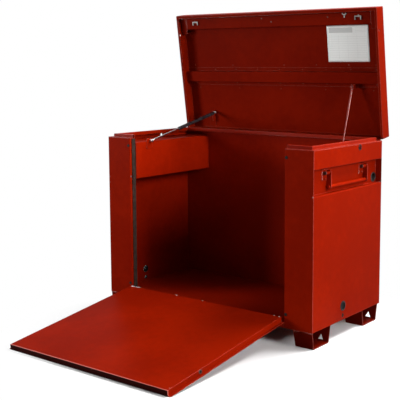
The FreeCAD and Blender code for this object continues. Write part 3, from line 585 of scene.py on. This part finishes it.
def scatter_tree():
    tree = bpy.data.node_groups.new("heads_on_points", "GeometryNodeTree")
    for label, kind in SCATTER_INPUTS:
        tree.interface.new_socket(label, in_out="INPUT", socket_type="NodeSocket" + kind)
    tree.interface.new_socket("Heads", in_out="OUTPUT", socket_type="NodeSocketGeometry")

    def add(kind, settings=None, **sockets):
        made = tree.nodes.new(kind)
        for key, value in (settings or {}).items():
            setattr(made, key, value)
        for key, value in sockets.items():
            socket = made.inputs[key.replace("_", " ")]
            if isinstance(value, bpy.types.NodeSocket):
                tree.links.new(value, socket)
            else:
                socket.default_value = value
        return made

    inputs = add("NodeGroupInput").outputs
    aim = add("GeometryNodeInputNamedAttribute", {"data_type": "FLOAT_VECTOR"}, Name="aim")
    turn = add("FunctionNodeAlignRotationToVector", {"axis": "Z"}, Vector=aim.outputs[0])
    spin_by = add("FunctionNodeRandomValue", {"data_type": "FLOAT"}, Seed=inputs["Seed"])
    spin_by.inputs[3].default_value = FULL_TURN
    spin_axis = add("ShaderNodeCombineXYZ", Z=spin_by.outputs[1])
    spin = add("FunctionNodeEulerToRotation", Euler=spin_axis.outputs[0])
    local = {"rotation_space": "LOCAL"}
    turned = add("FunctionNodeRotateRotation", local, Rotation=turn.outputs[0])
    tree.links.new(spin.outputs[0], turned.inputs[1])
    size = add("FunctionNodeRandomValue", {"data_type": "FLOAT"}, Seed=inputs["Seed"])
    tree.links.new(inputs["Smallest"], size.inputs[2])
    tree.links.new(inputs["Largest"], size.inputs[3])
    head = add("GeometryNodeObjectInfo", Object=inputs["Head"], As_Instance=False)
    copies = add(
        "GeometryNodeInstanceOnPoints", Points=inputs["Places"], Scale=size.outputs[1],
        Instance=head.outputs["Geometry"], Rotation=turned.outputs[0],
    )
    real = add("GeometryNodeRealizeInstances", Geometry=copies.outputs[0])
    painted = add("GeometryNodeSetMaterial", Geometry=real.outputs[0], Material=inputs["Finish"])
    tree.links.new(painted.outputs[0], add("NodeGroupOutput").inputs[0])
    return tree


SCATTER = scatter_tree()
print("scatter inputs", [s.name for s in SCATTER.interface.items_tree])

# %% [markdown]
# ## Put a piece on its body
# On the real chest every screw belongs to the part it holds, and moves with it. A parent could be
# set on each piece apart, but one helper hangs every piece from the empty of its body and, when it
# has no finish yet, gives it the paint of its slot.


# %% Settle
def settle(piece, body, slot):
    """Puts a finished piece in the scene, on its body and in its slot."""
    bpy.context.scene.collection.objects.link(piece)
    if not piece.data.materials:
        piece.data.materials.append(finishes[slot])
    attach(piece, body)
    print("piece", piece.name, len(piece.data.polygons), "faces on", body)


# %% [markdown]
# ## Run the scatter tree
# The tree runs on a holder that is thrown away after: a mesh of bare points, each with its aim.
# The result is kept as one plain mesh, because a live tree would be lost when the chest is
# exported. The seed comes from the piece's name, so each piece looks the same on every run.

# %% Scatter call
CREASE = math.radians(38)


def scatter(name, body, slot, head, places, sizes=(1.0, 1.0), smooth=True, finish=None):
    """Heads on a list of (place, direction) pairs, as one plain mesh that rides on a body."""
    mesh = new_mesh(name, [p for p, _ in places], [])
    aims = mesh.attributes.new("aim", "FLOAT_VECTOR", "POINT")
    for row, (_, way) in zip(aims.data, places):
        row.vector = Vector(way).normalized()
    holder = bpy.data.objects.new(name + "_points", mesh)
    bpy.context.scene.collection.objects.link(holder)
    modifier = holder.modifiers.new("heads", "NODES")
    modifier.node_group = SCATTER
    values = {
        "Head": head, "Finish": finish or finishes[slot], "Smallest": sizes[0],
        "Largest": sizes[1], "Seed": sum(map(ord, name)),
    }
    for item in SCATTER.interface.items_tree:
        if item.in_out == "INPUT" and item.name in values:
            modifier[item.identifier] = values[item.name]
    bpy.context.view_layer.update()
    live = holder.evaluated_get(bpy.context.evaluated_depsgraph_get())
    baked = bpy.data.meshes.new_from_object(live)
    bpy.data.objects.remove(holder)
    baked.name = name
    if smooth:
        baked.shade_smooth()
        baked.set_sharp_from_angle(angle=CREASE)
    settle(bpy.data.objects.new(name, baked), body, slot)


print("scatter keeps edges sharper than", round(math.degrees(CREASE)), "degrees")

# %% [markdown]
# ## Screws in the lid's front rail
# The rail behind the lid's front edge is held by a few flat screws. An even row would be quicker,
# but the real ones are not evenly spaced, so their places were read from the photograph and put
# back on the rail's crown in the lid's own measure.

# %% Rail screws
RAIL_CROWN = 40.0
rail_places = [(-505, 582), (-61, 591), (-4, 572), (330, 585), (500, 590)]
scatter(
    "rail_screws", "lid", "zinc", FLAT_SCREW,
    [(on_lid(x, s, RAIL_CROWN), LID_INWARD) for x, s in rail_places], (0.9, 1.1),
    # Painted shade: the screws inside the lid get the dark grey zinc.
    finish=zinc_painted_shade,
)

# %% [markdown]
# ## Spot welds inside the lid
# The rail and the cross channel are spot welded to the lid, which leaves shallow dimples with a
# raised ring. Most follow a pitch. The row beside the channel is uneven, as on the real lid. A
# bump in the paint could show them from afar, but a true ring also catches a low light.

# %% Lid spot welds
PANEL_FACE = 2.0
FLANGE_FACE = 4.0
panel_spots = [(-562, 348), (-300, 347), (30, 348), (224, 348), (412, 348), (559, 348)]
panel_spots += [(x, 224) for x in (-540, -270, 0, 270, 540)]
flange_spots = [(x, s) for x in range(-560, 561, 140) for s in (252, 325)]
scatter(
    "lid_spot_welds", "lid", "paint_lid", WELD_SPOT,
    [(on_lid(x, s, PANEL_FACE), LID_INWARD) for x, s in panel_spots]
    + [(on_lid(x, s, FLANGE_FACE), LID_INWARD) for x, s in flange_spots],
    (0.9, 1.15),
)

# %% [markdown]
# ## Rivets along the long hinges
# Both hinges are strips held by a line of rivets a hand's width apart: one line on the back wall
# and one on the lid, and the same on the sill and under the door. An even pitch gives all four
# rows, and each row rides on the body that its half of the hinge is held to.

# %% Hinge rivets
HINGE_PITCH = 85
LID_RIVETS = range(-595, 596, HINGE_PITCH)
DOOR_RIVETS = range(-425, 426, HINGE_PITCH)
WALL_LEAF = (306.8, 851.0)
LID_LEAF = (-2.0, 48.0)
SILL_LEAF = (-306.8, 86.0)
DOOR_LEAF = (3.6, 14.0)
scatter(
    "wall_hinge_rivets", "chest", "paint_body", RIVET,
    [(on_body(x, *WALL_LEAF), (0, 1, 0)) for x in LID_RIVETS],
)
scatter(
    "lid_hinge_rivets", "lid", "paint_lid", RIVET,
    [(on_lid(x, *LID_LEAF), LID_BACKWARD) for x in LID_RIVETS],
)
scatter(
    "sill_hinge_rivets", "chest", "paint_body", RIVET,
    [(on_body(x, *SILL_LEAF), (0, -1, 0)) for x in DOOR_RIVETS],
)
scatter(
    "door_hinge_rivets", "door", "paint_door", RIVET,
    [(on_door(x, *DOOR_LEAF), -DOOR_AWAY) for x in DOOR_RIVETS], (0.7, 0.7),
)

# %% [markdown]
# ## Stitches on the door's hinge fold
# The pan of the door is stitched to its hinge leaf. A full bead would be too heavy: small bare
# weld dots stand on the fold, close together at the corner and a few between, where the
# photograph shows them catch the light.

# %% Door stitches
FOLD_UP, FOLD_DEEP = 6.4, 24.2
stitches = [-447, -441, -433, -418, -408, -399, -152, 10, 419, 446]
scatter(
    "door_stitches", "door", "paint_door", RIPPLE,
    [(on_door(x, FOLD_UP, FOLD_DEEP), DOOR_INWARD - DOOR_AWAY) for x in stitches], (1.2, 1.6),
    finish=zinc,
)

# %% [markdown]
# ## Nuts on the handle brackets
# Each handle plate is held to the recess by a nut beside its pin, painted over with the body. A
# lathe with six sides already makes a nut, and flat shading keeps its corners crisp.

# %% Bracket nuts
PLATE_FACE = 580.6
ARM_FRONTS = (-147.8, 177.2)
NUT_BACK, NUT_HEIGHT = 19.0, 735.0
nut_places = [
    (on_body(side * PLATE_FACE, arm - NUT_BACK, NUT_HEIGHT), (side, 0, 0))
    for side in (-1, 1) for arm in ARM_FRONTS
]
scatter("handle_plate_nuts", "chest", "paint_body", NUT, nut_places, smooth=False)

# %% [markdown]
# ## Threads on the strut's necks
# The ball sockets screw on to the strut, and a few turns of thread show at each neck. A true
# helix would be finer than a picture shows. Ridges close together along the strut's own line look
# like the thread at this size, and each neck rides on its own half of the strut.

# %% Strut threads
NECK_START, THREAD_PITCH, THREAD_TURNS = 8.2, 1.15, 7
strut_foot = on_body(-441.0, -170.1, 850.0)
strut_head = on_lid(-441.0, 88.0, 17.0)
strut_way = (strut_head - strut_foot).normalized()
neck = [(NECK_START + THREAD_PITCH * i) * MM for i in range(THREAD_TURNS)]
foot_ridges = [(strut_foot + strut_way * step, strut_way) for step in neck]
head_ridges = [(strut_head - strut_way * step, strut_way) for step in neck]
scatter("strut_foot_thread", "strut_lower", "zinc", THREAD, foot_ridges)
scatter("strut_head_thread", "strut_upper", "zinc", THREAD, head_ridges)

# %% [markdown]
# ## Weld beads
# A welder's bead is a row of overlapping blobs, each frozen a moment after the last. A bent tube
# would be too smooth. Points a couple of millimetres apart along a seam, with blobs of slightly
# different size, give it. Both sides of the chest are welded alike, so a seam is drawn once and
# mirrored.

# %% Bead helper
BEAD_PITCH = 2.2


def bead(start, end, way, pitch=BEAD_PITCH):
    """Places and directions along a straight seam, in millimetres."""
    a, b = on_body(*start), on_body(*end)
    count = max(2, round((b - a).length / (pitch * MM)))
    return [(a + (b - a) * (i / count), way) for i in range(count + 1)]


def mirrored_seams(seams):
    """The seams and the same on the other side of the chest."""
    flip = Vector((-1, 1, 1))
    return seams + [(Vector(p) * flip, Vector(w) * flip) for p, w in seams]


print("blobs in 30 mm of bead", len(bead((0, 0, 0), (30, 0, 0), (0, 0, 1))))

# %% [markdown]
# ## Beads on the skids
# Each skid is a bent strip welded under the floor by short beads at its corners, where its foot
# meets the pan. Beads all round would be stronger, but the makers of such chests save the time.

# %% Skid seams
SKID_IN, SKID_OUT = 508.6, 605.6
SKID_STARTS = (-302.8, 134.8)
SKID_LONG, BEAD_OFF = 152.4, 0.4
BEAD_LONG, BEAD_HEIGHT = 30, 74.6
skid_seams = []
for start in SKID_STARTS:
    for y, way in ((start - BEAD_OFF, (0, -1, 0.4)), (start + SKID_LONG, (0, 1, 0.4))):
        for left, right in ((SKID_IN, SKID_IN + BEAD_LONG), (SKID_OUT - BEAD_LONG, SKID_OUT)):
            skid_seams += bead((left, y, BEAD_HEIGHT), (right, y, BEAD_HEIGHT), way)
scatter(
    "skid_welds", "chest", "paint_body", RIPPLE, mirrored_seams(skid_seams), (0.8, 1.1),
    finish=bead_paint,
)

# %% [markdown]
# ## Dots of weld in the handle recess
# The recess is closed at its rear end by dots of weld, each handle plate has three short beads
# along its front edge, and one small run joins the side to the post. The dots are the bead again
# with a longer pitch, so that the blobs stand apart.

# %% Recess seams
RECESS_REAR = 299.2
PLATE_BACK = 39.0
recess_seams = bead((577.8, RECESS_REAR, 726), (577.8, RECESS_REAR, 782), (1, -0.6, 0), 9.0)
recess_seams += bead((580.4, RECESS_REAR, 672.0), (603.0, RECESS_REAR, 672.0), (0.2, -0.6, 1), 6.5)
for arm in ARM_FRONTS:
    for low in (731.0, 746.0, 760.0):
        foot = (578.0, arm - PLATE_BACK, low)
        recess_seams += bead(foot, (foot[0], foot[1], low + 8.0), (1, -1, 0), 2.4)
recess_seams += bead((604.0, -303.2, 668.0), (607.2, -304.0, 673.0), (0.7, -0.7, 0.2), 1.8)
scatter(
    "recess_welds", "chest", "paint_body", RIPPLE, mirrored_seams(recess_seams), (0.8, 1.35),
    finish=bead_paint,
)

# %% [markdown]
# ## Slit rubber in the low ports
# The ports near the floor let a cable or a hose in but look dark, so each is closed by a rubber
# disc cut into petals that bend out of the way. A flat disc would look like a plug. Every petal
# is a small curved plate with a hair's gap to the next, and the disc sits in the wall's thickness
# behind the port's ring.

# %% Petal
PETALS = 8
PETAL_THICK = 1.4
PETAL_GAP = 0.12
PETAL_BULGE = 4.5
REACHES = (0.02, 0.35, 0.7, 1.0)
TURNS = (-1.0, -0.33, 0.33, 1.0)
LAYER = len(REACHES) * len(TURNS)
PETAL_RIM = [0, 1, 2, 3, 7, 11, 15, 14, 13, 12, 8, 4]


def petal_disc(x, y, z, radius, side):
    """Points and faces of one disc of petals that bulge into the chest."""
    points = []
    faces = []
    for k in range(PETALS):
        first = len(points)
        for layer in (0.0, PETAL_THICK):
            for reach in REACHES:
                r = radius * reach
                spread = math.pi / PETALS - min(PETAL_GAP / r, 0.15)
                inward = side * (x - PETAL_BULGE * (1.0 - reach * reach) - layer)
                for turn in TURNS:
                    a = 2 * math.pi * k / PETALS + turn * spread
                    points.append(on_body(inward, y + r * math.cos(a), z + r * math.sin(a)))
        for top in (0, LAYER):
            for a in (first + top + i * 4 + j for i in range(3) for j in range(3)):
                quad = (a, a + 1, a + 5, a + 4)
                faces.append(quad if (side > 0) == (top == 0) else tuple(reversed(quad)))
        for a, b in zip(PETAL_RIM, PETAL_RIM[1:] + PETAL_RIM[:1]):
            quad = (first + a, first + a + LAYER, first + b + LAYER, first + b)
            faces.append(quad if side > 0 else tuple(reversed(quad)))
    return points, faces


print("points in a petal", 2 * LAYER)

# %% [markdown]
# ## The four discs
# Each side of the chest has a port and, below it, a weep hole. The discs are joined to one piece,
# because they are the same rubber and none of them moves.

# %% Port petals
SIDE_INNER = 609.6 - 2.0
PORT_Y = -47.0
PORTS = ((143.0, 17.4), (98.0, 9.9))
disc_points = []
disc_faces = []
for side in (-1, 1):
    for z, radius in PORTS:
        points, faces = petal_disc(SIDE_INNER, PORT_Y, z, radius, side)
        disc_faces += [tuple(i + len(disc_points) for i in face) for face in faces]
        disc_points += points
discs = bpy.data.objects.new("port_petals", new_mesh("port_petals", disc_points, disc_faces))
settle(discs, "chest", "rubber")

# %% [markdown]
# ## The paper card
# A sheet taped inside a lid lifts a little between its corners. A cloth simulation could lift it,
# but a wave and one raised corner are a short formula. A grid with that height replaces the flat
# solid, with its own UV map for the ruled form.

# %% Card
CARD_LEFT, CARD_RIGHT = 298.1, 529.1
CARD_LOW, CARD_HIGH = 363.0, 540.0
CARD_THICK = 0.5
CARD_OFF = 0.7
COLUMNS, ROWS = 26, 20


def card_height(u, v):
    wave = 0.5 * math.sin(math.pi * u) * math.sin(2.3 * math.pi * v + 0.6)
    lifted = 2.2 * max(0.0, u + (1 - v) - 1.55) ** 1.5
    return CARD_OFF + wave * 0.6 + lifted


def paper_card():
    points = []
    faces = []
    for deep in (0.0, CARD_THICK):
        for j in range(ROWS + 1):
            for i in range(COLUMNS + 1):
                u, v = i / COLUMNS, j / ROWS
                x = CARD_LEFT + (CARD_RIGHT - CARD_LEFT) * u
                s = CARD_LOW + (CARD_HIGH - CARD_LOW) * v
                points.append(on_lid(x, s, PANEL_FACE + card_height(u, v) + deep))
    row = COLUMNS + 1
    layer = row * (ROWS + 1)
    for j in range(ROWS):
        for i in range(COLUMNS):
            a = j * row + i
            quad = (a, a + 1, a + row + 1, a + row)
            faces.append(tuple(reversed(quad)))
            faces.append(tuple(k + layer for k in quad))
    rim = list(range(row))
    rim += [j * row + COLUMNS for j in range(1, ROWS + 1)]
    rim += [ROWS * row + i for i in range(COLUMNS - 1, -1, -1)]
    rim += [j * row for j in range(ROWS - 1, 0, -1)]
    for a, b in zip(rim, rim[1:] + rim[:1]):
        faces.append((a, b, b + layer, a + layer))
    mesh = new_mesh("lid_paper_card", points, faces)
    uv = mesh.uv_layers.new(name="sheet")
    for loop in mesh.loops:
        k = loop.vertex_index % layer
        uv.data[loop.index].uv = ((k % row) / COLUMNS, (k // row) / ROWS)
    mesh.shade_smooth()
    return bpy.data.objects.new("lid_paper_card", mesh)


card = paper_card()
settle(card, "lid", "card")
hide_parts("lid_card")

# %% [markdown]
# ## The floor
# The chest stood on white paper. A bent backdrop would do, but the picture needs plain white
# round the chest. The floor takes the chest's shadow near it and fades to plain white further
# out, for the camera and for reflections only, so that it lights nothing.

# %% Floor
FLOOR_HALF = 14.0
FADE_CENTRE = (0.35, -0.1, 0.0)
FADE_FROM, FADE_TO = 0.65, 1.15
FLOOR_SEEN = (0.88, 0.88, 0.88)
FLOOR_HIDDEN = (0.36, 0.36, 0.36)
SEEING_RAYS = ("Is Camera Ray", "Is Glossy Ray", "Is Transmission Ray")
corners = [(x * FLOOR_HALF, y * FLOOR_HALF, 0) for x, y in ((-1, -1), (1, -1), (1, 1), (-1, 1))]
floor = bpy.data.objects.new("studio_floor", new_mesh("studio_floor", corners, [(0, 1, 2, 3)]))
bpy.context.scene.collection.objects.link(floor)
ground = Finish("floor_paper", Roughness=0.9, **{"Specular IOR Level": 0.0})
far = ground.band(ground.vector("DISTANCE", ground.place, FADE_CENTRE), FADE_FROM, FADE_TO)
path = ground.node("ShaderNodeLightPath").outputs
camera_ray, glossy_ray, clear_ray = (Number(ground, path[ray]) for ray in SEEING_RAYS)
seen = ground.maths("MAXIMUM", ground.maths("MAXIMUM", camera_ray, glossy_ray), clear_ray)
ground.set(Base_Color=ground.mix(seen, FLOOR_HIDDEN, FLOOR_SEEN))
glow = ground.node("ShaderNodeEmission", {}, {"Color": (1.0, 1.0, 1.0), "Strength": 1.0})
sockets = {0: far * seen, 1: ground.shader.outputs[0], 2: glow.outputs[0]}
blend = ground.node("ShaderNodeMixShader", {}, sockets)
ground.tree.links.new(blend.outputs[0], ground.tree.nodes["Material Output"].inputs[0])
floor.data.materials.append(ground.material)
print("floor", FLOOR_HALF * 2, "m")

# %% [markdown]
# ## The sky
# A product picture has a pure white ground, but a white sky at full strength would light the
# chest from all sides and wash out its shadows. The world is therefore white to every ray that
# the eye follows, straight, mirrored or through glass, and dim to the rays that light the chest.

# %% Sky
SKY_LIGHT = 0.15
bpy.context.scene.view_settings.view_transform = "Standard"
world = bpy.data.worlds.new("studio_sky")
bpy.context.scene.world = world
world.use_nodes = True
sky = world.node_tree
sky.nodes.clear()
rays = sky.nodes.new("ShaderNodeLightPath").outputs
seeing = rays[SEEING_RAYS[0]]
for ray in SEEING_RAYS[1:]:
    either = sky.nodes.new("ShaderNodeMath")
    either.operation = "MAXIMUM"
    sky.links.new(seeing, either.inputs[0])
    sky.links.new(rays[ray], either.inputs[1])
    seeing = either.outputs[0]
plain = sky.nodes.new("ShaderNodeBackground")
plain.inputs["Strength"].default_value = SKY_LIGHT
white = sky.nodes.new("ShaderNodeBackground")
white.inputs["Color"].default_value = (1.0, 1.0, 1.0, 1.0)
white.inputs["Strength"].default_value = 1.0
choose = sky.nodes.new("ShaderNodeMixShader")
sky.links.new(seeing, choose.inputs[0])
sky.links.new(plain.outputs[0], choose.inputs[1])
sky.links.new(white.outputs[0], choose.inputs[2])
sky.links.new(choose.outputs[0], sky.nodes.new("ShaderNodeOutputWorld").inputs[0])
print("sky", SKY_LIGHT)

# %% [markdown]
# ## The lamps
# The photograph's right side is bright, its fronts are dark and the door is lit from above. Bare
# bulbs would give hard shadows, so each lamp is a large soft rectangle: one from the right, the
# strongest overhead, and a weak one from the left front that keeps the fronts from going black.
# A narrow spread keeps the side lamps off the floor.


# %% Lamps
def lamp(name, at, target, size, watts, spread=180.0):
    data = bpy.data.lights.new(name, "AREA")
    data.shape = "RECTANGLE"
    data.size, data.size_y = size
    data.energy = watts
    data.spread = math.radians(spread)
    made = bpy.data.objects.new(name, data)
    bpy.context.scene.collection.objects.link(made)
    made.location = at
    made.rotation_euler = (Vector(target) - Vector(at)).to_track_quat("-Z", "Y").to_euler()
    print("lamp", name, watts, "W")


lamp("right_softbox", (4.3, -0.3, 2.15), (0.5, -0.2, 1.2), (1.5, 1.6), 32.0, 64.0)
lamp("overhead_softbox", (1.6, 1.6, 3.6), (0.1, -0.15, 0.2), (2.0, 1.2), 240.0)
lamp("front_fill", (-3.2, -2.9, 1.3), (-0.2, 0.2, 0.7), (1.6, 1.2), 15.0, 60.0)
